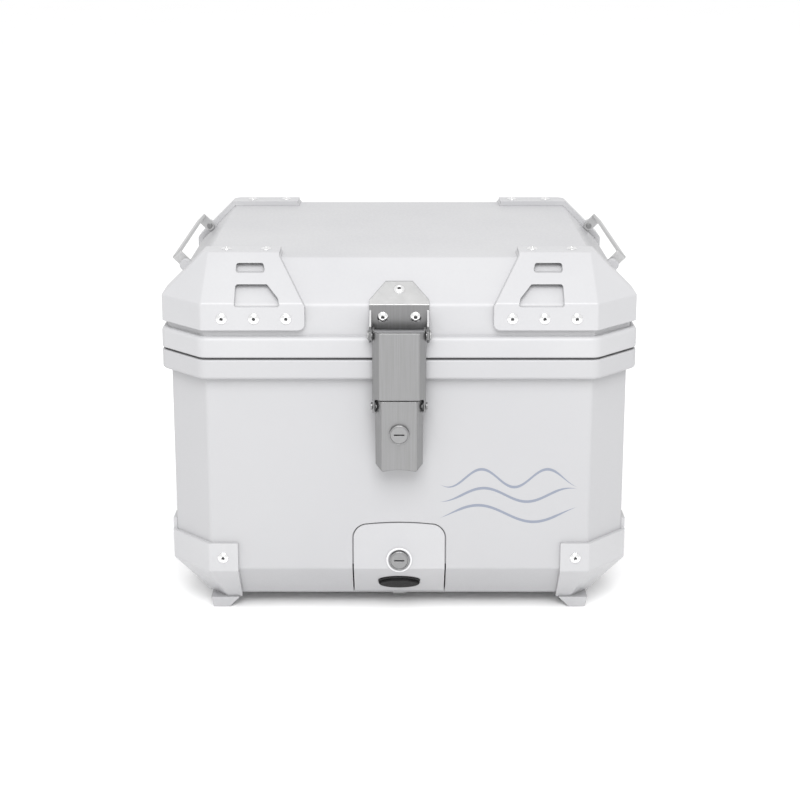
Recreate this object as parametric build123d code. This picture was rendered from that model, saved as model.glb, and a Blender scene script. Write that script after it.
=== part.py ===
from build123d import *
import math
import os

os.makedirs("parts", exist_ok=True)

# A motorcycle top case: an octagonal moulded box with a hinged lid, corner guards, a
# stainless over-lid latch at the front, folding side handles and a release lock that frees
# the case from its carrier plate. Millimetres, +Z up, +Y to the rear (hinge) side.
# The origin is under the middle of the case, on the plane that its feet stand on.

# Driving dimensions
case_half_x = 216.0        # half width over the rim bands
case_half_y = 197.0        # half depth over the rim bands
case_chamfer = 40.0        # corner chamfer of the rim bands, along X and along Y
wall = 3.0                 # moulded wall thickness
base_z = 13.0              # underside of the body above the ground
bevel_rise = 36.0          # height of the bevel round the bottom
bevel_run = 30.0           # how far that bevel goes in
rim_bottom_z = 232.0       # lower edge of the body's rim band
seam_z = 250.0             # top of the body
seam_gap = 2.0             # gap between body and lid
lid_band = 19.0            # height of the lid's rim band
lid_wall = 28.0            # upright wall of the lid above its band
lid_rise = 35.0            # rise of the sloped part of the lid
body_inset = 8.0           # body wall behind the rim bands
lid_inset = 6.0            # lid wall behind the rim bands
slope_run_x = 35.0         # how far the side slopes of the lid go in
slope_run_y = 41.0         # how far the front and rear slopes go in
slope_chamfer = 4.0        # corner chamfer of the flat top
guard = 3.5                # thickness of the lower corner guards
lid_guard_t = 5.0          # thickness of the lid's corner guards
guard_low_span = 27.5      # lower guards, length of their straight flaps
rivet_r = 4.9              # blind rivet head
shank_r = 2.4              # blind rivet shank
fit = 0.05                 # running and push fit clearance
gap = 1.2                  # shut line round the release panel
latch_half = 26.5          # half width of the latch bracket
sheet_t = 2.0              # stainless sheet of the bracket and keeper
arm_t = 1.8                # stainless sheet of the arm and lever
pin_r = 2.5                # latch pins
panel_half = 43.0          # half width of the release panel
panel_top = 95.0           # top of the release panel
button_half = 19.0         # half length of the push button
button_travel = 6.0        # travel of the push button
handle_span = 197.0        # length of a side handle
handle_y = 3.0             # middle of a side handle
strip_w = 10.0             # handle strip width
strip_t = 2.5              # handle strip thickness
hinge_x = 110.0            # middle of each rear hinge
hinge_len = 52.0           # length of each rear hinge
hinge_pin_r = 2.5          # rear hinge pins

# Levels that follow from them
fold_z = base_z + bevel_rise
lid_z = seam_z + seam_gap
lid_wall_z = lid_z + lid_band
lid_fold_z = lid_wall_z + lid_wall
top_z = lid_fold_z + lid_rise
front_y = -(case_half_y - body_inset)
band_y = -case_half_y
lid_front_y = -(case_half_y - lid_inset)
bevel_angle = math.degrees(math.atan2(bevel_run, bevel_rise))

pieces = {}


def keep(name, shape):
    """Store one named piece."""
    pieces[name] = shape


def group(shapes):
    """Several separate solids in one node."""
    solids = []
    for shape in shapes:
        solids.extend(shape.solids())
    return Compound(children=solids)


def block(x0, x1, y0, y1, z0, z1):
    """A box between two corners."""
    middle = Pos((x0 + x1) / 2, (y0 + y1) / 2, (z0 + z1) / 2)
    return middle * Box(abs(x1 - x0), abs(y1 - y0), abs(z1 - z0))


def rod(start, end, radius):
    """A round bar from start to end."""
    start = Vector(*start)
    run = Vector(*end) - start
    return Cylinder(radius, run.length, align=(Align.CENTER, Align.CENTER, Align.MIN)).moved(
        Plane(origin=start, z_dir=run).location
    )


def octagon(half_x, half_y, chamfer):
    """The corners of a chamfered rectangle, anticlockwise."""
    points = []
    for sx, sy in ((1, 1), (-1, 1), (-1, -1), (1, -1)):
        pair = [(sx * half_x, sy * (half_y - chamfer)), (sx * (half_x - chamfer), sy * half_y)]
        points += pair if sx * sy > 0 else pair[::-1]
    return points


def ring(inset):
    """The case outline, moved in by the same amount all round."""
    return octagon(
        case_half_x - inset,
        case_half_y - inset,
        case_chamfer - inset * (2 - math.sqrt(2)),
    )


def tapered(lower, z0, upper, z1):
    """A flat-faced solid between two outlines with the same number of corners."""
    low = [(x, y, z0) for x, y in lower]
    high = [(x, y, z1) for x, y in upper]
    faces = [Face(Wire.make_polygon(low)), Face(Wire.make_polygon(high))]
    for i in range(len(low)):
        j = (i + 1) % len(low)
        faces.append(Face(Wire.make_polygon([low[i], low[j], high[j], high[i]])))
    return Solid(Shell(faces))


def straight(inset, z0, z1):
    """An upright prism with the case outline moved in."""
    return tapered(ring(inset), z0, ring(inset), z1)


def prism_y(points, y0, y1):
    """A solid with an outline in X and Z, between two depths."""
    face = Face(Wire.make_polygon([(x, y0, z) for x, z in points]))
    return Solid.extrude(face, Vector(0, y1 - y0, 0))


def prism_x(points, x0, x1):
    """A solid with an outline in Y and Z, between two places along X."""
    face = Face(Wire.make_polygon([(x0, y, z) for y, z in points]))
    return Solid.extrude(face, Vector(x1 - x0, 0, 0))


def prism_z(points, z0, z1):
    """A solid with an outline in X and Y, between two heights."""
    face = Face(Wire.make_polygon([(x, y, z0) for x, y in points]))
    return Solid.extrude(face, Vector(0, 0, z1 - z0))


def grown(solid, amount):
    """A flat-faced solid with every face moved out (or in) by the same amount."""
    return offset(solid, amount=amount, kind=Kind.INTERSECTION)


def rivet(point, normal, depth):
    """A blind rivet: a domed head with a centre hole, a shank and a tail behind the wall."""
    outline = Polyline((1.4, 0), (rivet_r, 0), (rivet_r, 0.35))
    dome = ThreePointArc((rivet_r, 0.35), (rivet_r * 0.72, 1.35), (1.9, 1.75))
    lip = Polyline((1.9, 1.75), (1.4, 1.35), (1.4, 0))
    head = revolve(make_face([outline, dome, lip]).rotate(Axis.X, 90), Axis.Z)
    plug = Pos(0, 0, 0.15) * Cylinder(1.4, 0.3)
    shank = Pos(0, 0, -depth / 2) * Cylinder(shank_r, depth)
    tail = Pos(0, 0, -depth - 0.75) * Cylinder(shank_r + 1.1, 1.5)
    solid = head + plug + shank + tail
    return solid.moved(Plane(origin=point, z_dir=normal).location)


def rivet_hole(point, normal, depth):
    """The hole that a blind rivet passes through."""
    hole = Pos(0, 0, -depth / 2) * Cylinder(shank_r + fit, depth + 2)
    return hole.moved(Plane(origin=point, z_dir=normal).location)


# The outer forms that everything else is cut from or laid on
body_hull = tapered(ring(body_inset + bevel_run), base_z, ring(body_inset), fold_z)
body_hull = body_hull + straight(body_inset, fold_z, seam_z - wall)
body_inner = grown(body_hull, -wall)
lid_top_ring = octagon(
    case_half_x - lid_inset - slope_run_x,
    case_half_y - lid_inset - slope_run_y,
    slope_chamfer,
)
lid_hull = straight(lid_inset, lid_z, lid_fold_z)
lid_hull = lid_hull + tapered(ring(lid_inset), lid_fold_z, lid_top_ring, top_z)

# Outer forms with their edges rounded
edge_r = 5.0
body_round = fillet(body_hull.edges().filter_by(lambda e: e.center().Z < seam_z - wall - 1), edge_r)
lid_round = fillet(lid_hull.edges().filter_by(lambda e: e.center().Z > lid_z + 1), edge_r)


def band(z0, z1, high_r, low_r):
    """A rim band with rounded corners and softened upper and lower edges."""
    solid = straight(0, z0, z1)
    solid = fillet(solid.edges().filter_by(Axis.Z), edge_r + body_inset)
    solid = fillet(solid.edges().filter_by(lambda e: e.center().Z > z1 - 0.1), high_r)
    return fillet(solid.edges().filter_by(lambda e: e.center().Z < z0 + 0.1), low_r)


def both_sides(shape):
    """The shape and its mirror image across the middle plane."""
    return [shape, mirror(shape, Plane.YZ)]


# Rivet places: (point, outward normal) on the guards' outer faces
lid_flap_z = lid_wall_z + 6.0
flap_rivet_z = lid_flap_z + 10.5
strip_z = top_z + lid_guard_t
flap_rivet_x = (case_half_x - 59.0, case_half_x - 87.5, case_half_x - 116.0)
strip_rivet_x = (case_half_x - 59.0, case_half_x - 95.0)
low_rivet_x = case_half_x - 54.5
low_rivet_y = case_half_y - 56.0
strip_half_w = 12.5
lid_rivets = []
body_rivets = []
for sx in (-1, 1):
    for sy in (-1, 1):
        face_y = sy * (-lid_front_y + lid_guard_t)
        for x in flap_rivet_x:
            lid_rivets.append(((sx * x, face_y, flap_rivet_z), (0, sy, 0)))
        for x in strip_rivet_x:
            y = sy * (-lid_front_y - slope_run_y - strip_half_w)
            lid_rivets.append(((sx * x, y, strip_z), (0, 0, 1)))
        low_y = sy * (-front_y + guard)
        body_rivets.append(((sx * low_rivet_x, low_y, base_z + 48.0), (0, sy, 0)))
        side_x = sx * (case_half_x - body_inset + guard)
        body_rivets.append(((side_x, sy * low_rivet_y, base_z + 61.0), (sx, 0, 0)))
rivet_depth = lid_guard_t + wall + 6.0
lid_flap_wall = body_inset + wall - lid_inset


def drill(shape, rivets):
    """Cut the rivet holes out of a shape."""
    for point, normal in rivets:
        shape = shape - rivet_hole(point, normal, rivet_depth)
    return shape


# Corner guards of the lid, hugging its upright wall, slopes and top
guard_in_x = case_half_x - 132.5
guard_top_x = case_half_x - 108.0
guard_top_y = -lid_front_y - slope_run_y - 2 * strip_half_w
guard_in_y = guard_top_y - 3.0
lid_guard_skin = grown(lid_hull, lid_guard_t)
guard_edge_r = 3.0
window_r = 2.2
lid_guard_skin = fillet(
    lid_guard_skin.edges().filter_by(lambda e: e.center().Z > lid_z + 1), guard_edge_r
)
lid_guard_skin = lid_guard_skin - lid_hull


def guard_front_outline():
    """The front of a lid guard, seen from the front, with rounded lower inner corner."""
    far = -(case_half_x + 20)
    flat = Polyline(
        (far, lid_flap_z),
        (-guard_in_x - 6, lid_flap_z),
    )
    corner = RadiusArc((-guard_in_x - 6, lid_flap_z), (-guard_in_x, lid_flap_z + 6), -6)
    rest = Polyline(
        (-guard_in_x, lid_flap_z + 6),
        (-guard_in_x, lid_fold_z),
        (-guard_top_x, top_z + 2),
        (-guard_top_x, top_z + 20),
        (far, top_z + 20),
        (far, lid_flap_z),
    )
    return make_face([flat, corner, rest])


def window(points):
    """A window through a guard's front slope, with rounded corners."""
    outline = make_face(Polyline(*points, close=True))
    outline = fillet(outline.vertices(), window_r)
    return Pos(0, -guard_top_y, 0) * extrude(outline.rotate(Axis.X, 90), amount=120)


def lid_guard():
    """The front left guard of the lid."""
    front = extrude(guard_front_outline().rotate(Axis.X, 90), amount=120)
    front = Pos(0, -guard_top_y, 0) * front
    side = prism_x(
        [
            (-case_half_y - 30, lid_flap_z),
            (-guard_in_y, lid_flap_z),
            (-guard_in_y, lid_fold_z),
            (-guard_top_y, top_z + 2),
            (-guard_top_y, top_z + 20),
            (-case_half_y - 30, top_z + 20),
        ],
        -case_half_x - 15,
        -case_half_x + 50,
    )
    piece = lid_guard_skin & (front + side)
    upper = [(-70.0, 24.6), (-96.5, 24.6), (-94.0, 31.8), (-70.0, 31.8)]
    lower = [(-70.5, -1.0), (-111.0, -1.0), (-109.0, 6.0), (-98.5, 16.2), (-70.5, 16.2)]
    for points in (upper, lower):
        piece = piece - window([(-case_half_x - x, z + lid_fold_z) for x, z in points])
    return piece


# Lower corner guards with their stub feet
body_guard_skin = grown(body_hull, guard)
body_guard_skin = fillet(
    body_guard_skin.edges().filter_by(lambda e: e.center().Z < seam_z - wall - 1), guard_edge_r
)
body_guard_skin = body_guard_skin - body_hull
low_guard_x = case_half_x - body_inset - (case_chamfer - body_inset * 0.586) - guard_low_span + 2.5
low_guard_y = low_guard_x - case_half_x + case_half_y
low_guard_z = base_z + 62.0


def body_guard():
    """The front left guard of the body."""
    region = block(-260, -low_guard_x, -260, -low_guard_y, base_z - guard, low_guard_z)
    tab = block(-260, -case_half_x + body_inset, -152, -131, low_guard_z - 1, low_guard_z + 10)
    piece = body_guard_skin & (region + tab)
    foot_x = -(case_half_x - body_inset - bevel_run - 3.0)
    foot_y = -(case_half_y - body_inset - bevel_run + 3.0)
    foot_low = [(foot_x, foot_y), (foot_x + 15, foot_y)]
    foot_low += [(foot_x + 15, foot_y + 15), (foot_x, foot_y + 15)]
    foot_high = [(foot_x - 2, foot_y - 2), (foot_x + 25, foot_y - 2)]
    foot_high += [(foot_x + 25, foot_y + 22), (foot_x - 2, foot_y + 22)]
    foot_top = base_z - guard + 1.0
    foot = tapered(foot_low, 0, foot_high, foot_top) - body_hull
    return piece + foot


# Release panel outline in the lower front, slightly arched at the top
def panel_outline(shrink):
    """The release panel seen from the front, made smaller by a shut line."""
    half = panel_half - shrink
    top = panel_top - shrink
    corner = 14.0 - shrink
    shoulder = top - 1.6
    low = base_z - 20
    arch = ThreePointArc((-half + corner, shoulder), (0, top), (half - corner, shoulder))
    right = RadiusArc((half - corner, shoulder), (half, shoulder - corner), corner)
    left = RadiusArc((-half, shoulder - corner), (-half + corner, shoulder), corner)
    rest = Polyline((half, shoulder - corner), (half, low), (-half, low), (-half, shoulder - corner))
    return make_face([arch, right, rest, left])


def panel_region(shrink):
    """The space in front of the release housing that the panel outline covers."""
    solid = extrude(panel_outline(shrink).rotate(Axis.X, 90), amount=60)
    return Pos(0, front_y + 50, 0) * solid


# Push button: an oval on the lower bevel, sliding along the bevel's normal
button_in = Vector(0, math.cos(math.radians(bevel_angle)), math.sin(math.radians(bevel_angle)))
button_mid = Vector(0, front_y + bevel_run * 0.53, fold_z - bevel_rise * 0.53)
button_plane = Plane(origin=button_mid, x_dir=(1, 0, 0), z_dir=-button_in)
button_short = 8.2
button_play = 0.35
bezel_short = 7.6
bezel_up = 3.2


# Release lock above the button
lock_r = 7.0
lock_face_r = 9.0
flange_t = 3.4
plug_core_r = 5.0
release_lock_z = base_z + 45.0
latch_lock_z = 186.0


def lock_barrel(x, y, z, depth):
    """A fixed lock barrel: a flange, a body and a bore for the plug, facing the front."""
    face = rod((x, y - flange_t, z), (x, y, z), lock_face_r)
    face = fillet(face.edges().filter_by(lambda e: e.center().Y < y - flange_t + 0.4), 0.8)
    body = rod((x, y, z), (x, y + depth, z), lock_r)
    bore = rod((x, y - 2.2, z), (x, y + depth + 1, z), plug_core_r + fit)
    recess = rod((x, y - 4, z), (x, y - 2.2, z), lock_face_r - 1.1)
    return face + body - bore - recess


def lock_plug(x, y, z, depth, cam_low, cam_high, cam_turn):
    """The turning plug with a key slot, and the cam bar on its inner end."""
    face = rod((x, y - 3.0, z), (x, y - 2.3, z), lock_face_r - 1.25)
    core = rod((x, y - 2.4, z), (x, y + depth, z), plug_core_r)
    slot = block(x - 4.6, x + 4.6, y - 5, y + 3, z - 0.7, z + 0.7)
    cam = block(x - 3, x + 3, y + depth, y + depth + 2.5, z + cam_low, z + cam_high)
    cam = cam.rotate(Axis((x, y, z), (0, 1, 0)), cam_turn)
    stem = rod((x, y + depth - 0.5, z), (x, y + depth + 2.5, z), plug_core_r)
    return face + core - slot + cam + stem


def hex_nut(x, y, z, thick, across, bore_r):
    """A six-sided nut on a lock barrel, its front face at y."""
    nut = extrude(RegularPolygon(across / 2, 6, major_radius=False), amount=thick)
    nut = nut - Pos(0, 0, thick / 2) * Cylinder(bore_r, thick + 2)
    return nut.moved(Plane(origin=(x, y, z), z_dir=(0, 1, 0)).location)


# Body shell: walls, bevel, floor and the thick rim band, open at the top
inner_top = straight(body_inset + wall, fold_z, seam_z + 1)
cavity = body_inner + inner_top
hook_pin_y = front_y + 49.0
hook_pin_z = base_z + 14.0
hook_slot = block(-8, 8, hook_pin_y - 13, hook_pin_y + 13, base_z - 1, base_z + wall + 1)
panel_back_y = front_y + bevel_run - 1
panel_clip = block(-200, 200, -300, panel_back_y, -50, 300)
body_shell = body_round + band(rim_bottom_z, seam_z, 1.5, 3.0) - cavity
body_shell = body_shell - (panel_region(0) & panel_clip) - hook_slot
body_shell = drill(body_shell, body_rivets)

# Release panel, flush with the body, with a lip behind the shut line
panel_clip_in = block(-200, 200, -300, panel_back_y - gap, -50, 300)
panel_skin = (body_hull - body_inner) & panel_region(gap) & panel_clip_in
lip_space = body_inner - grown(body_inner, -2.0)
lip_clip = block(-200, 200, -300, front_y + 12, fold_z + 4, 300)
panel_lip = lip_space & panel_region(-3.5) & lip_clip
boss_x = panel_half - 9.0
boss_z = panel_top - 18.0
housing_back_y = front_y + 58.0
release_panel = panel_skin + (panel_lip - grown(body_inner, -2.0))
for sx in (-1, 1):
    boss = rod((sx * boss_x, front_y + 2, boss_z), (sx * boss_x, housing_back_y, boss_z), 4.5)
    release_panel = release_panel + boss
    screw_bore = rod(
        (sx * boss_x, housing_back_y - 16, boss_z), (sx * boss_x, housing_back_y + 1, boss_z), 2 + fit
    )
    release_panel = release_panel - screw_bore
lock_hole = rod((0, front_y - 5, release_lock_z), (0, front_y + 8, release_lock_z), lock_r + fit)
release_panel = release_panel - lock_hole
bezel_shift = button_plane.y_dir * bezel_up


def oval(half, short, shift, out, back):
    """An oval bar along the button's travel, shifted up the bevel."""
    face = extrude(Ellipse(half, short), amount=out + back)
    return (Pos(0, 0, -back) * face).moved(button_plane.location).moved(Location(shift))


button_down = bezel_shift * -0.4
button_room = oval(button_half + button_play, button_short + button_play, button_down, 6, 12)
bezel_hole = oval(button_half + 0.5, bezel_short, bezel_shift, 6, 12)
release_panel = release_panel - button_room - bezel_hole
keep("release_panel", release_panel)
bezel = oval(button_half + 0.5 - fit, bezel_short - fit, bezel_shift, 0.8, wall)
keep("button_bezel", bezel - button_room)

# Push button with a retaining flange and a plunger
button = oval(button_half, button_short, button_down, 2.2, wall + 0.4)
button = fillet(button.faces().sort_by(lambda f: f.center().dot(button_in))[0].edges(), 1.6)
flange = oval(button_half + 2, button_short + 2, button_down, -wall - 0.4, wall + 2.4)
plunger_mid = button_mid + button_down
plunger_start = plunger_mid + button_in * (wall + 0.4)
plunger_end = plunger_mid + button_in * 29.0
keep("release_button", button + flange + rod(plunger_start, plunger_end, 3.0))

# Release housing behind the panel, with the plunger's guide and the hook's pin lugs
housing_half = panel_half + 10.0
housing_top = panel_top + 14.0
pocket = block(-housing_half + wall, housing_half - wall, -300, housing_back_y, -50, housing_top - wall)
housing = block(
    -housing_half, housing_half, -300, housing_back_y + wall, -50, housing_top
) & body_inner
housing = housing - pocket
guide_mid = plunger_mid + button_in * 23.5
guide = Box(2 * housing_half - 2 * wall, 13, 3).moved(
    Plane(origin=guide_mid, x_dir=(1, 0, 0), z_dir=button_in).location
)
guide = guide - rod(plunger_start, plunger_end + button_in * 10, 3.0 + 0.2)
lug_x = 14.0
for sx in (-1, 1):
    lug = block(sx * lug_x, sx * (lug_x + 4), hook_pin_y - 6, housing_back_y + 1, base_z + wall, hook_pin_z + 6)
    housing = housing + lug
housing = housing + guide
hook_pin_bore = rod((-lug_x - 5, hook_pin_y, hook_pin_z), (lug_x + 5, hook_pin_y, hook_pin_z), 3.0 + fit)
housing = housing - hook_pin_bore
for sx in (-1, 1):
    at = (sx * boss_x, housing_back_y - 1, boss_z)
    housing = housing - rod(at, (at[0], housing_back_y + wall + 1, boss_z), 2.0 + 0.2)
keep("release_housing", housing)
keep("hook_pin", rod((-lug_x - 4, hook_pin_y, hook_pin_z), (lug_x + 4, hook_pin_y, hook_pin_z), 3.0))
screws = []
for sx in (-1, 1):
    shank = rod(
        (sx * boss_x, housing_back_y - 15, boss_z), (sx * boss_x, housing_back_y + wall, boss_z), 2.0
    )
    head = rod(
        (sx * boss_x, housing_back_y + wall, boss_z), (sx * boss_x, housing_back_y + wall + 2.4, boss_z), 4.0
    )
    screws.append(shank + head)
keep("housing_screws", group(screws))

# Release hook: the plunger tips it forwards, out of the carrier plate
pad = plunger_end + button_in * 0.8
along = Vector(0, -button_in.Z, button_in.Y)
pad_low = pad - along * 5
pad_high = pad + along * 5
pad_back = pad_high + button_in * 5
hook_outline = [
    (pad_low.Y, pad_low.Z),
    (pad_high.Y, pad_high.Z),
    (pad_back.Y, pad_back.Z),
    (hook_pin_y + 4, hook_pin_z + 14),
    (hook_pin_y + 5.5, hook_pin_z),
    (hook_pin_y + 4, hook_pin_z - 17),
    (hook_pin_y + 11, hook_pin_z - 18),
    (hook_pin_y + 9, hook_pin_z - 22),
    (hook_pin_y - 3, hook_pin_z - 22),
    (hook_pin_y - 5.5, hook_pin_z),
    (hook_pin_y - 4.5, hook_pin_z + 10),
]
hook = prism_x(hook_outline, -6, 6)
hook = hook - rod((-8, hook_pin_y, hook_pin_z), (8, hook_pin_y, hook_pin_z), 3.0 + fit)
keep("release_hook", hook)

# Torsion spring of the hook, wound round its pin
turns = 5
spring_path = Helix(pitch=1.25, height=1.25 * turns, radius=4.2)
spring_wire = sweep(Plane(spring_path @ 0, z_dir=spring_path % 0) * Circle(0.5), path=spring_path)
spring = spring_wire.moved(Plane(origin=(7.2, hook_pin_y, hook_pin_z), z_dir=(1, 0, 0)).location)
keep("hook_spring", spring)

# Release lock
barrel_depth = 12.0
keep("release_lock_barrel", lock_barrel(0, front_y, release_lock_z, barrel_depth))
keep("release_lock_nut", hex_nut(0, front_y + wall + 2, release_lock_z, 3.0, 18.0, lock_r + fit))
keep("release_lock_plug", lock_plug(0, front_y, release_lock_z, barrel_depth + 0.2, -3, 12, 0))

# Lower corner guards and their rivets
names = [("front_left", False, False), ("front_right", True, False)]
names += [("rear_left", False, True), ("rear_right", True, True)]


def at_corner(shape, right, rear):
    """Mirror a front left piece to another corner."""
    if right and rear:
        return shape.rotate(Axis.Z, 180)
    if right:
        shape = mirror(shape, Plane.YZ)
    if rear:
        shape = mirror(shape, Plane.XZ)
    return shape


low_piece = drill(body_guard(), body_rivets)
high_piece = drill(lid_guard(), lid_rivets)
for corner, right, rear in names:
    keep("body_guard_" + corner, at_corner(low_piece, right, rear))
    keep("lid_guard_" + corner, at_corner(high_piece, right, rear))
keep("body_guard_rivets", group([rivet(p, n, guard + wall) for p, n in body_rivets]))

# Lid shell with its thick rim band
lid_inner = grown(lid_hull, -wall)
lid_mouth = straight(body_inset + wall, lid_z - 1, lid_fold_z - wall)
lid_cavity = (lid_inner & straight(body_inset + wall, lid_z, top_z)) + lid_mouth
lid_shell = lid_round + band(lid_z, lid_wall_z, 4.0, 1.5) - lid_cavity
lid_shell = drill(lid_shell, lid_rivets)
lid_grip = [(p, n, lid_guard_t + (wall if n[2] else lid_flap_wall)) for p, n in lid_rivets]
keep("lid_guard_rivets", group([rivet(*place) for place in lid_grip]))

# Seal under the lid's rim band, just clear of the body
seal_clear = 0.3
seal = straight(3.0, seam_z + seal_clear, lid_z) - straight(7.0, seam_z - 1, lid_z + 1)
keep("lid_seal", seal)

# Latch bracket on the lid: a bent plate with two ears for the arm's pin
arm_pin_y = band_y - 8.0
arm_pin_z = lid_wall_z + 4.0
bracket_skin = grown(lid_hull, sheet_t) - lid_hull
tab_top = lid_fold_z + 17.5
bracket_outline = [
    (-latch_half, lid_flap_z + 0.5),
    (latch_half, lid_flap_z + 0.5),
    (latch_half, lid_fold_z + 4.0),
    (latch_half - 14.5, tab_top),
    (-latch_half + 14.5, tab_top),
    (-latch_half, lid_fold_z + 4.0),
]
bracket = bracket_skin & prism_y(bracket_outline, -300, -100)
plate_y = lid_front_y - sheet_t
ear_outline = [
    (plate_y + 0.2, lid_flap_z + 1),
    (plate_y + 0.2, lid_fold_z - 4),
    (arm_pin_y + 2, arm_pin_z + 7),
    (arm_pin_y - 5, arm_pin_z + 4),
    (arm_pin_y - 5.5, arm_pin_z - 3),
    (arm_pin_y + 1, arm_pin_z - 7),
    (arm_pin_y + 6, arm_pin_z - 5),
    (arm_pin_y + 7, lid_flap_z + 1),
]
arm_half = latch_half - sheet_t - 0.8
for sx in (-1, 1):
    bracket = bracket + prism_x(ear_outline, sx * latch_half, sx * (latch_half - sheet_t))
slope_out = Vector(0, -lid_rise, slope_run_y).normalized()
bracket_rivets = [((sx * 14.5, plate_y, lid_flap_z + 11.5), (0, -1, 0)) for sx in (-1, 1)]
slope_y = lid_front_y + (tab_top - 7.0 - lid_fold_z) * slope_run_y / lid_rise
slope_point = Vector(0, slope_y, tab_top - 7.0) + slope_out * sheet_t
bracket_rivets.append((tuple(slope_point), tuple(slope_out)))
bracket = drill(bracket, bracket_rivets)
lid_shell = drill(lid_shell, bracket_rivets)
keep("bracket_rivets", group([rivet(p, n, sheet_t + wall + 2.2) for p, n in bracket_rivets]))
arm_bore = rod((-40, arm_pin_y, arm_pin_z), (40, arm_pin_y, arm_pin_z), pin_r + fit)
keep("latch_bracket", bracket - rod((-40, arm_pin_y, arm_pin_z), (40, arm_pin_y, arm_pin_z), pin_r))


def headed_pin(half, y, z, radius, head_r, head_t):
    """A pin along X with a flat head at each end."""
    pin = rod((-half, y, z), (half, y, z), radius)
    for sx in (-1, 1):
        pin = pin + rod((sx * half, y, z), (sx * (half + head_t), y, z), head_r)
    return pin


keep("arm_pin", headed_pin(latch_half, arm_pin_y, arm_pin_z, pin_r, 3.8, 1.6))


def channel(half, front, back, bevel, thick, z0, z1):
    """A pressed channel with bevelled long edges, open to the rear."""

    def outline(inset):
        edge = bevel - inset * 0.41
        return [
            (-half + inset, back + 1 if inset else back),
            (-half + inset, front + inset + edge),
            (-half + inset + edge, front + inset),
            (half - inset - edge, front + inset),
            (half - inset, front + inset + edge),
            (half - inset, back + 1 if inset else back),
        ]

    return prism_z(outline(0), z0, z1) - prism_z(outline(thick), z0 - 1, z1 + 1)


# Upper latch arm
arm_front = arm_pin_y - 8.5
arm_back = arm_pin_y + 5.5
arm_low = 217.5
lever_swing = arm_pin_y - arm_front - arm_t
lever_pin_z = arm_low - lever_swing - 0.5
arm = channel(arm_half, arm_front, arm_back, 6.0, arm_t, lever_pin_z - 5.5, arm_pin_z + 6)
arm = arm - block(-arm_half + arm_t, arm_half - arm_t, -300, arm_front + 8, 0, arm_low)
arm = arm - block(-50, 50, -300, arm_pin_y - 6, 0, arm_low)
arm = arm - block(-arm_half + arm_t, arm_half - arm_t, -300, arm_front + 7, arm_pin_z + 3.5, 400)
arm = arm - arm_bore
lever_pin_bore = rod((-40, arm_pin_y, lever_pin_z), (40, arm_pin_y, lever_pin_z), pin_r)
keep("latch_arm", arm - lever_pin_bore)
keep("lever_pin", headed_pin(arm_half, arm_pin_y, lever_pin_z, pin_r, 3.2, 1.4))

# Lower latch lever with the lock hole, cut corners and a shallow scallop
lever_half = arm_half - arm_t - 0.8
lever_front = arm_front + arm_t
lever_low = 151.0
lever = channel(lever_half, lever_front, arm_back, 5.5, arm_t, lever_low, arm_low - 1.5)
for sx in (-1, 1):
    corner = [(sx * (lever_half + 1), 0), (sx * (lever_half + 1), lever_low + 7), (sx * (lever_half - 6), lever_low)]
    corner.append((sx * (lever_half - 6), 0))
    lever = lever - prism_y(corner, -300, -100)
scallop = rod((0, -300, lever_low - 58.4), (0, -100, lever_low - 58.4), 60)
lever = lever - scallop
lever = lever - rod((0, -300, latch_lock_z), (0, -100, latch_lock_z), lock_r + fit)
lever = lever - rod((-40, arm_pin_y, lever_pin_z), (40, arm_pin_y, lever_pin_z), pin_r + fit)
keep("latch_lever", lever)

# Latch lock: barrel through the lever, nut behind it, plug with its cam
latch_barrel_depth = 7.5
keep("latch_lock_barrel", lock_barrel(0, lever_front, latch_lock_z, latch_barrel_depth))
keep("latch_lock_nut", hex_nut(0, lever_front + arm_t, latch_lock_z, 2.6, 18.0, lock_r + fit))
cam_front = lever_front + latch_barrel_depth + 3.0
keep("latch_lock_plug", lock_plug(0, lever_front, latch_lock_z, cam_front - lever_front, -12, 3, 0))

# Keeper on the body: a bent plate whose lip catches the cam when the key is turned
keeper_post_x = 13.0
lip_back = cam_front - 0.7
keeper = block(-16, 18, front_y - sheet_t, front_y, latch_lock_z - 20, latch_lock_z + 16)
keeper = keeper + block(
    keeper_post_x, keeper_post_x + 2.5, lip_back - 2.0, front_y, latch_lock_z - 4.5, latch_lock_z + 4.5
)
keeper = keeper + block(
    6.5, keeper_post_x + 2.5, lip_back - 2.0, lip_back, latch_lock_z - 4.5, latch_lock_z + 4.5
)
keeper_screws = []
for z in (latch_lock_z - 15, latch_lock_z + 11):
    point = (0, front_y - sheet_t, z)
    keeper = keeper - rivet_hole(point, (0, -1, 0), sheet_t + wall + 3)
    body_shell = body_shell - rivet_hole(point, (0, -1, 0), sheet_t + wall + 3)
    keeper_screws.append(rivet(point, (0, -1, 0), sheet_t + wall))
keep("latch_keeper", keeper)
keep("keeper_rivets", group(keeper_screws))

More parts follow.
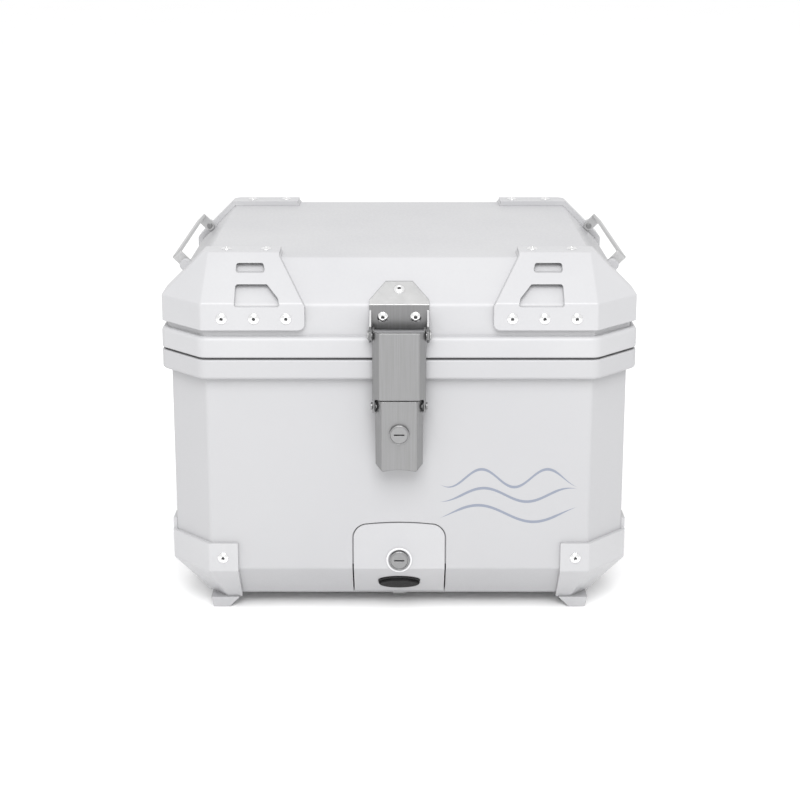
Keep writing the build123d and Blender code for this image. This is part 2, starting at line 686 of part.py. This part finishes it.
# Rear hinges: two leaves each, knuckles on one pin behind the seam
hinge_y = case_half_y + 6.5
hinge_z = seam_z + seam_gap / 2
knuckle_r = 5.0
leaf_t = 2.5
knuckle_gap = 0.4
body_leaf_screws = []
lid_leaf_screws = []
for side, sx in (("left", -1), ("right", 1)):
    mid = sx * hinge_x
    low_x = mid - hinge_len / 2
    third = hinge_len / 3
    leaves = {"body": [0, 2], "lid": [1]}
    for owner, spans in leaves.items():
        up = 1 if owner == "lid" else -1
        z_near = hinge_z + up * 4.0
        z_far = hinge_z + up * 17.0
        leaf = block(low_x, low_x + hinge_len, case_half_y, case_half_y + leaf_t, z_near, z_far)
        for span in spans:
            x0 = low_x + span * third + (knuckle_gap if span else 0)
            x1 = low_x + (span + 1) * third - (knuckle_gap if span < 2 else 0)
            leaf = leaf + rod((x0, hinge_y, hinge_z), (x1, hinge_y, hinge_z), knuckle_r)
            leaf = leaf + block(x0, x1, case_half_y + 0.6, hinge_y, hinge_z, z_near + up * 2)
        bore_r = hinge_pin_r + (fit if owner == "lid" else 0)
        leaf = leaf - rod((low_x - 1, hinge_y, hinge_z), (low_x + hinge_len + 1, hinge_y, hinge_z), bore_r)
        for dx in (-17.0, 17.0):
            z = hinge_z + up * 10.5
            start = (mid + dx, case_half_y + leaf_t + 1.6, z)
            head = rod((mid + dx, case_half_y + leaf_t, z), start, 3.6)
            shank = rod((mid + dx, case_half_y - 7, z), (mid + dx, case_half_y + leaf_t, z), 2.0)
            leaf = leaf - shank
            screw = head + shank
            if owner == "lid":
                lid_leaf_screws.append(screw)
                lid_shell = lid_shell - shank
            else:
                body_leaf_screws.append(screw)
                body_shell = body_shell - shank
        keep(f"hinge_{owner}_leaf_{side}", leaf)
    keep(
        f"hinge_pin_{side}",
        rod((low_x - 1, hinge_y, hinge_z), (low_x + hinge_len + 1, hinge_y, hinge_z), hinge_pin_r),
    )
keep("hinge_body_screws", group(body_leaf_screws))
keep("hinge_lid_screws", group(lid_leaf_screws))
keep("body_shell", body_shell)
keep("lid_shell", lid_shell)

# Handles: flat strip bails that stand off the side slopes and fold in towards the lid
handle_pin_r = 1.6
eye_r = strip_w / 2
slope_clear = 0.6
pivot_z = lid_fold_z + lid_rise / 2 + 0.5
slope_x = case_half_x - lid_inset - slope_run_x * (pivot_z - lid_fold_z) / lid_rise
slope_normal = math.atan2(slope_run_x, lid_rise)
pivot_x = -(slope_x + (eye_r + slope_clear) / math.cos(slope_normal))
leg_len = 11.8
lug_len = 8.0
lean_dir = Vector(-math.cos(slope_normal), 0, math.sin(slope_normal))
grip_plane = Plane(origin=(pivot_x, handle_y, pivot_z), x_dir=(0, 1, 0), z_dir=lean_dir)
handle = Pos(0, 0, leg_len) * Box(handle_span, strip_w, strip_t)
lugs = []
pins = []
for sy in (-1, 1):
    leg_y = sy * (handle_span / 2 - strip_t / 2)
    handle = handle + Pos(leg_y, 0, leg_len / 2) * Box(strip_t, strip_w, leg_len)
    handle = handle + Pos(leg_y, 0, 0) * Cylinder(eye_r, strip_t, rotation=(0, 90, 0))
corners = handle.edges().filter_by(Axis.Y).filter_by(lambda e: e.center().Z > leg_len + strip_t / 4)
handle = fillet(corners, strip_t - 0.2)
handle = handle - Cylinder(handle_pin_r + fit, handle_span + 2, rotation=(0, 90, 0))
handle = handle.moved(grip_plane.location)
for sy in (-1, 1):
    lug_y = sy * (handle_span / 2 + 0.4 + lug_len / 2)
    lug = Pos(lug_y, 0, 0) * Cylinder(eye_r, lug_len, rotation=(0, 90, 0))
    lug = lug + Pos(lug_y, 0, -eye_r) * Box(lug_len, strip_w, 2 * eye_r)
    lug = (lug.moved(grip_plane.location)) - lid_hull
    leg_out = handle_y + sy * handle_span / 2
    leg_in = leg_out - sy * strip_t
    pin_end = leg_out + sy * (lug_len - 1)
    lug = lug - rod((pivot_x, leg_out, pivot_z), (pivot_x, pin_end, pivot_z), handle_pin_r)
    lugs.append(lug)
    pin = rod((pivot_x, leg_in - sy * 1.2, pivot_z), (pivot_x, pin_end, pivot_z), handle_pin_r)
    cap = leg_in - sy * 0.3
    pins.append(pin + rod((pivot_x, cap - sy * 1.2, pivot_z), (pivot_x, cap, pivot_z), 2.8))
handle_parts = (("handle_lugs", group(lugs)), ("side_handle", handle), ("handle_pins", group(pins)))
for side, turn in (("left", False), ("right", True)):
    for name, shape in handle_parts:
        keep(f"{name}_{side}", mirror(shape, Plane.YZ) if turn else shape)

# Soft mat on the floor of the case
mat_t = 3.0
mat_front = housing_back_y + wall + 6.0
mat = straight(body_inset + bevel_run + 6.0, base_z + wall, base_z + wall + mat_t)
mat = mat & block(-300, 300, mat_front, 300, 0, 100)
keep("floor_mat", mat)

# Fixed hooks under the rear of the floor that slide under the carrier plate
hook_x = 60.0
hook_w = 26.0
hook_z = 4.5
hook_back = case_half_y - body_inset - bevel_run - 41.0
hook_front = hook_back - 6.0
hook_toe = hook_back - 18.0
for side, sx in (("left", -1), ("right", 1)):
    x0 = sx * hook_x - hook_w / 2
    stem = block(x0, x0 + hook_w, hook_front, hook_back, hook_z, base_z)
    toe = block(x0, x0 + hook_w, hook_toe, hook_back, hook_z, hook_z + 3)
    keep(f"carrier_hook_{side}", stem + toe)

# The origin lies under the middle of the overall box, from latch lock to hinge knuckles
front_most = lever_front - flange_t
rear_most = hinge_y + knuckle_r
to_middle = Location((0, -(front_most + rear_most) / 2, 0))
for name, shape in pieces.items():
    solids = [solid.moved(to_middle) for solid in shape.solids()]
    export_step(solids[0] if len(solids) == 1 else Compound(children=solids), f"parts/{name}.step")
print(len(pieces), "pieces")
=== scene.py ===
# %% [markdown]
# # A motorcycle top case
# The case is a white moulded box with an octagonal plan, a hinged lid, plastic corner
# guards held by blind rivets and a pressed stainless latch. The mechanical parts arrive
# finished from the frame. This lesson gives them their finishes, adds the small pieces
# that the eye looks for, and sets up a plain studio.

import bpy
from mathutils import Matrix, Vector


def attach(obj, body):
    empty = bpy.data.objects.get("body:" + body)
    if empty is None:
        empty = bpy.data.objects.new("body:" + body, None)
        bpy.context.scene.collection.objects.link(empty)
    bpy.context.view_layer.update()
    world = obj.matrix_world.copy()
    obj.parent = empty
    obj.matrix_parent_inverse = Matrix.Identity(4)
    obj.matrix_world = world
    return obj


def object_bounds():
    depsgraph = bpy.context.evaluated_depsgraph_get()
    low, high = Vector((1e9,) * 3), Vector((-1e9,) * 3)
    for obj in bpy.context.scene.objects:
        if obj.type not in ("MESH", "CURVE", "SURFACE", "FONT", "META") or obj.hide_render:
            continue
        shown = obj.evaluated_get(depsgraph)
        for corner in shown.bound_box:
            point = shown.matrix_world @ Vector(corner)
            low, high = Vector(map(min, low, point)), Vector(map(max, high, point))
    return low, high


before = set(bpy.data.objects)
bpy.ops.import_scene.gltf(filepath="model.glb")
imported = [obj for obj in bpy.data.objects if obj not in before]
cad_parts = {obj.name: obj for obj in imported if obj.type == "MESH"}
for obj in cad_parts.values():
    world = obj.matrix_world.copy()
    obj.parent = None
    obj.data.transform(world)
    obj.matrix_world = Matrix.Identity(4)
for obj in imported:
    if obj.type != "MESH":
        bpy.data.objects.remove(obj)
cad_box = [list(corner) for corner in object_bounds()]

import math

import bmesh
import bpy
import numpy as np
from mathutils import Vector

MM = 0.001
low, high = Vector(cad_box[0]), Vector(cad_box[1])
middle = (low + high) / 2
print("frame:", len(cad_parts), "nodes, size", [round(v, 4) for v in high - low])

# %% [markdown]
# ## Shader maths as Python
# A finish is built from many small sums. A wrapper class round a node socket lets those
# sums be written as ordinary expressions, so the recipe stays readable. Every other node
# comes from one method, which takes its settings first and then its inputs.


# %% A socket wrapper and a material maker
class Wire:
    """One output socket, with arithmetic that adds Math nodes."""

    def __init__(self, maker, socket):
        self.maker = maker
        self.socket = socket

    def sum(self, operation, first, second):
        return self.maker.node("ShaderNodeMath", {"operation": operation}, {0: first, 1: second})

    def __add__(self, other):
        return self.sum("ADD", self, other)

    def __radd__(self, other):
        return self.sum("ADD", other, self)

    def __sub__(self, other):
        return self.sum("SUBTRACT", self, other)

    def __rsub__(self, other):
        return self.sum("SUBTRACT", other, self)

    def __mul__(self, other):
        return self.sum("MULTIPLY", self, other)

    def __rmul__(self, other):
        return self.sum("MULTIPLY", other, self)


class Finish:
    """A material and the one method that makes its nodes."""

    def __init__(self, name, **constants):
        self.material = bpy.data.materials.new(name)
        self.material.use_nodes = True
        self.tree = self.material.node_tree
        self.shader = self.tree.nodes["Principled BSDF"]
        for socket, value in constants.items():
            self.shader.inputs[socket.replace("_", " ")].default_value = value

    def node(self, kind, settings, inputs, output=0):
        made = self.tree.nodes.new(kind)
        for key, value in settings.items():
            setattr(made, key, value)
        for key, value in inputs.items():
            if isinstance(value, Wire):
                self.tree.links.new(value.socket, made.inputs[key])
            else:
                made.inputs[key].default_value = value
        return Wire(self, made.outputs[output])

    def place(self):
        return self.node("ShaderNodeTexCoord", {}, {}, "Object")

    def along(self, axis):
        return self.node("ShaderNodeSeparateXYZ", {}, {0: self.place()}, axis)

    def noise(self, scale, detail=2.0, stretch=(1.0, 1.0, 1.0), rough=0.5):
        put = self.node("ShaderNodeMapping", {}, {"Vector": self.place(), "Scale": stretch})
        inputs = {"Vector": put, "Scale": scale, "Detail": detail, "Roughness": rough}
        return self.node("ShaderNodeTexNoise", {}, inputs, 0)

    def mix(self, factor, dark, light):
        inputs = {0: factor, 6: dark, 7: light}
        return self.node("ShaderNodeMix", {"data_type": "RGBA"}, inputs, 2)

    def span(self, value, from_low, from_high, to_low, to_high):
        inputs = {0: value, 1: from_low, 2: from_high, 3: to_low, 4: to_high}
        return self.node("ShaderNodeMapRange", {}, inputs, 0)

    def bump(self, height, distance, strength=1.0, normal=None):
        inputs = {"Height": height, "Distance": distance, "Strength": strength}
        if normal is not None:
            inputs["Normal"] = normal
        return self.node("ShaderNodeBump", {}, inputs, 0)

    def soft_edge(self, radius):
        return self.node("ShaderNodeBevel", {"samples": 6}, {"Radius": radius}, 0)

    def feed(self, socket, wire):
        self.tree.links.new(wire.socket, self.shader.inputs[socket])


def grey(value, blue=0.0):
    """A near-white or near-black colour, a touch cooler by blue."""
    return (value, value, value + blue, 1.0)


print("shader helpers ready")

# %% [markdown]
# ## Moulded white plastic
# The shells are injection moulded with a very fine spark-eroded grain, so highlights are
# broad. The guards come from a smoother tool. Both get a slow, barely visible drift of
# tone, the fine grain as bump, and a softened edge so that corners catch the light.


# %% White plastics
def white_plastic(name, tone, grain, roughness):
    """Satin white moulding with a fine grain."""
    finish = Finish(name, Specular_IOR_Level=0.45)
    drift = finish.noise(9.0, 3.0)
    speck = finish.noise(420.0, 2.0)
    shade = finish.span(drift + speck * 0.25, 0.35, 0.9, 0.0, 1.0)
    finish.feed("Base Color", finish.mix(shade, grey(tone - 0.035, 0.012), grey(tone, 0.008)))
    finish.feed("Roughness", finish.span(speck, 0.3, 0.7, roughness - 0.05, roughness + 0.07))
    pebble = finish.noise(1500.0, 2.0)
    finish.feed("Normal", finish.bump(pebble, grain, 0.5, finish.soft_edge(0.0008)))
    return finish.material


shell_white = white_plastic("shell_white", 0.43, 0.00006, 0.42)
guard_white = white_plastic("guard_white", 0.43, 0.00002, 0.36)
ring_white = white_plastic("ring_white", 0.62, 0.00001, 0.25)
print("white plastics:", shell_white.name, guard_white.name, ring_white.name)

# %% [markdown]
# ## The body's plastic and its line motif
# The front of the body carries a printed motif, low on the right: three flowing grey lines
# that thin out towards both ends. Each line is a sine wave. A point belongs to the line when
# its height is nearer to the wave than half the line's width, and the width fades to nothing
# at the ends and away from the front wall.

# %% The body's plastic
motif_left = 0.037
motif_long = 0.125
motif_fade = 0.02
motif_depth = -0.18
half_width = 0.0013
motif_ink = (0.20, 0.22, 0.27, 1.0)
# height of each line, its swing up and down, and its waves in radians per metre
motif_lines = ((0.137, 0.0085, 105.0), (0.121, 0.0065, 80.0), (0.103, 0.0080, 62.0))


def wave_motif(finish):
    """A mask that is one on the printed lines."""
    across, back, up = finish.along("X"), finish.along("Y"), finish.along("Z")
    right = motif_left + motif_long
    inside = finish.span(across, motif_left, motif_left + motif_fade, 0.0, 1.0)
    inside = inside * finish.span(across, right, right - motif_fade, 0.0, 1.0)
    inside = inside * finish.span(back, motif_depth, motif_depth - 0.002, 0.0, 1.0)
    lines = 0.0
    for count, (level, swing, pace) in enumerate(motif_lines):
        wave = finish.node("ShaderNodeMath", {"operation": "SINE"}, {0: across * pace + 1.7 * count})
        apart = up - wave * swing - level
        apart = finish.node("ShaderNodeMath", {"operation": "ABSOLUTE"}, {0: apart})
        test = {0: apart, 1: inside * half_width}
        lines = finish.node("ShaderNodeMath", {"operation": "LESS_THAN"}, test) + lines
    return lines


def front_plastic(name, tone, grain, roughness):
    """White moulding with the printed motif."""
    finish = Finish(name, Specular_IOR_Level=0.45)
    drift = finish.noise(9.0, 3.0)
    plain = finish.mix(drift, grey(tone - 0.02, 0.012), grey(tone, 0.008))
    finish.feed("Base Color", finish.mix(wave_motif(finish), plain, motif_ink))
    speck = finish.noise(420.0, 2.0)
    finish.feed("Roughness", finish.span(speck, 0.3, 0.7, roughness - 0.05, roughness + 0.07))
    pebble = finish.noise(1500.0, 2.0)
    finish.feed("Normal", finish.bump(pebble, grain, 0.5, finish.soft_edge(0.0008)))
    return finish.material


body_white = front_plastic("body_white", 0.395, 0.00006, 0.42)
print("body plastic:", body_white.name, "with", len(motif_lines), "printed lines")

# %% [markdown]
# ## Brushed stainless steel
# The latch is pressed from brushed sheet. The brush marks run up and down, so the noise
# that drives colour and roughness is stretched along Z. A slower pattern adds the faint
# smears that hands leave on a latch. The bracket carries painted light: its sloped tab above
# the fold is painted a lighter grey than the upright plate below, as if the tab caught the lamp.


# %% Metals
def brushed_metal(name, tone, roughness, stretch, marks, soft=0.0006, fold=None):
    """Brushed metal, marked along its least stretched axis, with painted light above a fold."""
    finish = Finish(name, Metallic=1.0)
    lines = finish.noise(900.0, 3.0, stretch, 0.6)
    smear = finish.noise(38.0, 3.0)
    shade = finish.span(lines + smear * 0.4, 0.45, 0.95, 0.0, 1.0)
    color = finish.mix(shade, grey(tone * 0.82), grey(tone, 0.004))
    if fold is not None:
        # painted light: above the fold the colour turns to a lighter grey, standing in for the lamp on
        # the sloped tab
        above = finish.span(finish.along("Z"), fold - 0.0005, fold + 0.0005, 0.0, 1.0)
        color = finish.mix(above, color, grey(painted_tab_light_tone))
    finish.feed("Base Color", color)
    finish.feed("Roughness", finish.span(lines + smear, 0.7, 1.3, roughness - 0.06, roughness + 0.1))
    finish.feed("Normal", finish.bump(lines, marks, 0.35, finish.soft_edge(soft)))
    return finish.material


upright = (1.0, 1.0, 0.02)
front_to_back = (1.0, 0.02, 1.0)
even = (1.0, 1.0, 1.0)
# painted light: the lighter grey painted on the bracket's sloped tab above the fold
painted_tab_light_tone = 0.50
bracket_fold = 0.2995
stainless = brushed_metal("latch_stainless", 0.28, 0.38, upright, 0.00003, 0.0011)
bracket_steel = brushed_metal("bracket_steel", 0.22, 0.34, upright, 0.00003, 0.0006, bracket_fold)
strip_steel = brushed_metal("handle_strip", 0.52, 0.38, front_to_back, 0.00003)
rivet_metal = brushed_metal("rivet_aluminium", 0.88, 0.14, even, 0.00001)
lock_metal = brushed_metal("lock_nickel", 0.30, 0.36, (1.0, 0.2, 1.0), 0.00002)
zinc = brushed_metal("zinc_plate", 0.52, 0.42, even, 0.00002)
print("metals: 6")

# %% [markdown]
# ## Dark parts
# The push button is smooth black, the inner cover is plain black moulding and the seal and
# mat are rubber. Each keeps a little variation so that none reads as a flat fill.


# %% Dark finishes
def dark_part(name, tone, roughness, scale, relief, shine=0.5):
    """Black plastic or rubber with fine relief."""
    finish = Finish(name, Specular_IOR_Level=shine)
    speck = finish.noise(scale, 2.0)
    finish.feed("Base Color", finish.mix(speck, grey(tone * 0.7), grey(tone * 1.35, tone * 0.08)))
    finish.feed("Roughness", finish.span(speck, 0.3, 0.7, roughness - 0.04, roughness + 0.06))
    finish.feed("Normal", finish.bump(speck, relief, 0.4, finish.soft_edge(0.0005)))
    return finish.material


black_gloss = dark_part("black_gloss", 0.006, 0.3, 300.0, 0.00001, 0.12)
black_matte = dark_part("black_matte", 0.022, 0.5, 900.0, 0.00005)
seal_rubber = dark_part("seal_rubber", 0.09, 0.75, 1200.0, 0.0001)
mat_rubber = dark_part("mat_rubber", 0.035, 0.8, 700.0, 0.0002)
print("dark finishes: 4")

# %% [markdown]
# ## Dressing the parts
# Each part of the frame already has its right shape, so it only needs its finish. A short
# list of words in the names picks the material.

# %% Assign finishes to the frame's parts
finish_by_word = [
    ("hinge", zinc),
    ("rivets", rivet_metal),
    ("guard", guard_white),
    ("handle_lugs", guard_white),
    ("side_handle", strip_steel),
    ("handle_pins", stainless),
    ("button", black_gloss),
    ("housing_screws", zinc),
    ("release_housing", black_matte),
    ("lock", lock_metal),
    ("latch_bracket", bracket_steel),
    ("latch", stainless),
    ("pin", stainless),
    ("hook", zinc),
    ("seal", seal_rubber),
    ("mat", mat_rubber),
    ("body_shell", body_white),
    ("shell", shell_white),
    ("panel", shell_white),
]
for node_name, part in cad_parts.items():
    chosen = next(material for word, material in finish_by_word if word in node_name)
    part.data.materials.clear()
    part.data.materials.append(chosen)
print("dressed", len(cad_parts), "parts")

# %% [markdown]
# ## Turned pieces
# The frame leaves out a few small pieces that the eye looks for. All of them are round, so
# two helpers are enough: a disc with softened rims and a hoop. A primitive is added where it
# belongs, turned to face along a normal, and its place is then written into its mesh. A third
# helper joins pieces that ride on the same body.


# %% Round pieces
def apply_place():
    """Write the object's turn and place into its mesh."""
    bpy.ops.object.transform_apply(location=True, rotation=True, scale=True)


def disc(place, normal, radius, thick, soft):
    """A short cylinder with softened rims, standing on a place along a normal."""
    bpy.ops.object.select_all(action="DESELECT")
    turn = Vector(normal).to_track_quat("Z", "Y").to_euler()
    middle_point = Vector(place) + Vector(normal).normalized() * thick / 2
    bpy.ops.mesh.primitive_cylinder_add(
        vertices=24, radius=radius, depth=thick, location=middle_point, rotation=turn
    )
    piece = bpy.context.object
    rim = piece.modifiers.new("rim", "BEVEL")
    rim.width = soft
    rim.segments = 2
    bpy.ops.object.modifier_apply(modifier="rim")
    apply_place()
    return piece


def hoop(place, normal, radius, thick):
    """A torus round a normal."""
    bpy.ops.object.select_all(action="DESELECT")
    turn = Vector(normal).to_track_quat("Z", "Y").to_euler()
    bpy.ops.mesh.primitive_torus_add(
        major_radius=radius, minor_radius=thick, major_segments=48, minor_segments=12,
        location=place, rotation=turn,
    )
    apply_place()
    return bpy.context.object


def join(pieces, name, material, body):
    """Join pieces into one object, dress it and say what it rides on."""
    bpy.ops.object.select_all(action="DESELECT")
    for piece in pieces:
        piece.select_set(True)
    bpy.context.view_layer.objects.active = pieces[0]
    if len(pieces) > 1:
        bpy.ops.object.join()
    whole = bpy.context.object
    whole.name = name
    whole.data.name = name
    whole.data.materials.clear()
    whole.data.materials.append(material)
    bpy.ops.object.shade_smooth_by_angle(angle=math.radians(35.0))
    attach(whole, body)
    return whole


print("helpers: disc, hoop, join")

# %% [markdown]
# ## Where the rivets are
# A blind rivet shows the broken end of its mandrel in the middle of its head; here that end is
# drawn black, partly the mandrel's dark steel and partly painted shade for the hollow head. The
# places come from the frame's own rivets: a copy of each rivet node is merged and parted into its
# islands. A rivet is round, so its axis is the one direction whose spread differs from the
# other two, and its head is at the end where it is widest.


# %% Rivet heads
def head_of(points):
    """The place and direction of one rivet's head, from its points."""
    spread = np.array(points)
    centre = spread.mean(axis=0)
    sizes, axes = np.linalg.eigh(np.cov((spread - centre).T))
    odd = 0 if sizes[1] - sizes[0] > sizes[2] - sizes[1] else 2
    axis = axes[:, odd]
    distance = (spread - centre) @ axis
    radius = np.linalg.norm((spread - centre) - np.outer(distance, axis), axis=1)
    if distance[radius.argmax()] < 0:
        axis, distance = -axis, -distance
    return Vector(centre + axis * distance.max()), Vector(axis)


def rivet_heads(node_name):
    """The head centre and outward direction of each rivet in a node of the frame."""
    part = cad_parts[node_name]
    work = bmesh.new()
    work.from_mesh(part.data)
    bmesh.ops.remove_doubles(work, verts=work.verts, dist=0.01 * MM)
    heads = []
    met = set()
    for start in work.verts:
        if start in met:
            continue
        met.add(start)
        island = [start]
        for vert in island:
            fresh = [edge.other_vert(vert) for edge in vert.link_edges]
            fresh = [other for other in fresh if other not in met]
            met.update(fresh)
            island.extend(fresh)
        heads.append(head_of([part.matrix_world @ vert.co for vert in island]))
    work.free()
    return heads


lid_rivets = rivet_heads("lid_guard_rivets") + rivet_heads("bracket_rivets")
body_rivets = rivet_heads("body_guard_rivets")
print("rivets:", len(lid_rivets), "on the lid,", len(body_rivets), "on the body")

# %% [markdown]
# ## Mandrel ends
# Each end is a small black disc that fills the hole in its rivet's head and stays a little
# below the rim, so that a bright ring of metal is left round it. Its black is partly the
# mandrel's dark steel and partly painted shade for the hollow inside the head.

# %% Mandrel ends
mandrel_r = 1.42 * MM
mandrel_long = 0.75 * MM
mandrel_sunk = 1.3 * MM
rim_soft = 0.15 * MM


def mandrels(heads):
    """The black mandrel ends of a set of rivets, partly painted shade in their hollow heads."""
    return [
        disc(top - normal * mandrel_sunk, normal, mandrel_r, mandrel_long, rim_soft)
        for top, normal in heads
    ]


# black mandrel discs: partly the mandrels' dark steel, partly painted shade inside each hollow rivet head
lid_mandrel_shade = join(mandrels(lid_rivets), "lid_rivet_mandrels_and_shade", black_matte, "lid")
body_mandrel_shade = join(mandrels(body_rivets), "body_rivet_mandrels_and_shade", black_matte, "body")
print("mandrel ends:", len(lid_mandrel_shade.data.vertices), "and", len(body_mandrel_shade.data.vertices), "points")

# %% [markdown]
# ## Clips, bushes and the lock's ring
# Spring clips hold the ends of the pin that the latch arm turns on. Dark bushes sit at both
# sides of the lower pin, where the lever turns in the arm, so they ride on the arm. The
# release lock sits in a white ring that is pressed into the panel.

# %% Latch details and lock ring
pin_y = -201.7 * MM
arm_pin_z = 275.0 * MM
lever_pin_z = 210.3 * MM
clip_x = 27.2 * MM
bush_x = 20.6 * MM
ring_place = Vector((0.0, -186.3, 58.0)) * MM

clips = [hoop((side * clip_x, pin_y, arm_pin_z), (1, 0, 0), 4.1 * MM, 0.55 * MM) for side in (-1, 1)]
join(clips, "arm_pin_clips", zinc, "lid")
bushes = [
    disc((side * bush_x, pin_y, lever_pin_z), (side, 0, 0), 5.0 * MM, 1.5 * MM, 0.2 * MM)
    for side in (-1, 1)
]
join(bushes, "lever_bushes", black_matte, "latch_arm")
join([hoop(ring_place, (0, 1, 0), 10.9 * MM, 1.15 * MM)], "release_lock_ring", ring_white, "body")
print("latch details: 2 clips, 2 bushes; lock ring at", [round(v, 4) for v in ring_place])

# %% [markdown]
# ## A plain studio
# The case stands on a pale seamless floor that runs far back, so that it meets the white
# world without a line. One large soft light above and in front brightens the slopes, and the
# world lifts the shadows. The camera stands a little above the lid, in line with the latch.

# %% Floor, lights and camera
bpy.ops.object.select_all(action="DESELECT")
floor_size = 120.0
floor_drop = 0.2 * MM
floor_place = (0.0, floor_size / 3, low.z - floor_drop)
bpy.ops.mesh.primitive_plane_add(size=floor_size, location=floor_place)
floor = bpy.context.object
floor.name = "studio_floor"
floor_finish = Finish("floor_white", Roughness=0.9, Specular_IOR_Level=0.1)
floor_tone = floor_finish.noise(2.0, 1.0)
floor_finish.feed("Base Color", floor_finish.mix(floor_tone, grey(0.95), grey(0.97)))
floor.data.materials.append(floor_finish.material)

world = bpy.data.worlds.new("studio_world")
world.use_nodes = True
world.node_tree.nodes["Background"].inputs["Color"].default_value = (1.0, 1.0, 1.0, 1.0)
world.node_tree.nodes["Background"].inputs["Strength"].default_value = 1.04
bpy.context.scene.world = world
bpy.context.scene.view_settings.view_transform = "Standard"


def soft_light(name, place, aim, size, power):
    """A square soft light pointing at a place."""
    data = bpy.data.lights.new(name, "AREA")
    data.shape = "SQUARE"
    data.size = size
    data.energy = power
    lamp = bpy.data.objects.new(name, data)
    bpy.context.collection.objects.link(lamp)
    lamp.location = place
    lamp.rotation_euler = (Vector(aim) - Vector(place)).to_track_quat("-Z", "Y").to_euler()
    return lamp


soft_light("key_light", (0.0, -1.87, 2.04), middle, 1.6, 60.0)

eye_height = 0.624
eye_back = 1.5767
eye_pitch = 13.7
focal = 1615.0 / 800.0
camera_data = bpy.data.cameras.new("camera")
camera_data.sensor_width = 36.0
camera_data.lens = focal * camera_data.sensor_width
camera_data.shift_y = -0.1
camera_data.shift_x = 0.001
camera = bpy.data.objects.new("camera", camera_data)
bpy.context.collection.objects.link(camera)
camera.location = (0.0, -eye_back, eye_height)
camera.rotation_euler = (math.radians(90.0 - eye_pitch), 0.0, 0.0)
bpy.context.scene.camera = camera
print("camera", [round(v, 3) for v in camera.location], "lens", round(camera_data.lens, 1))
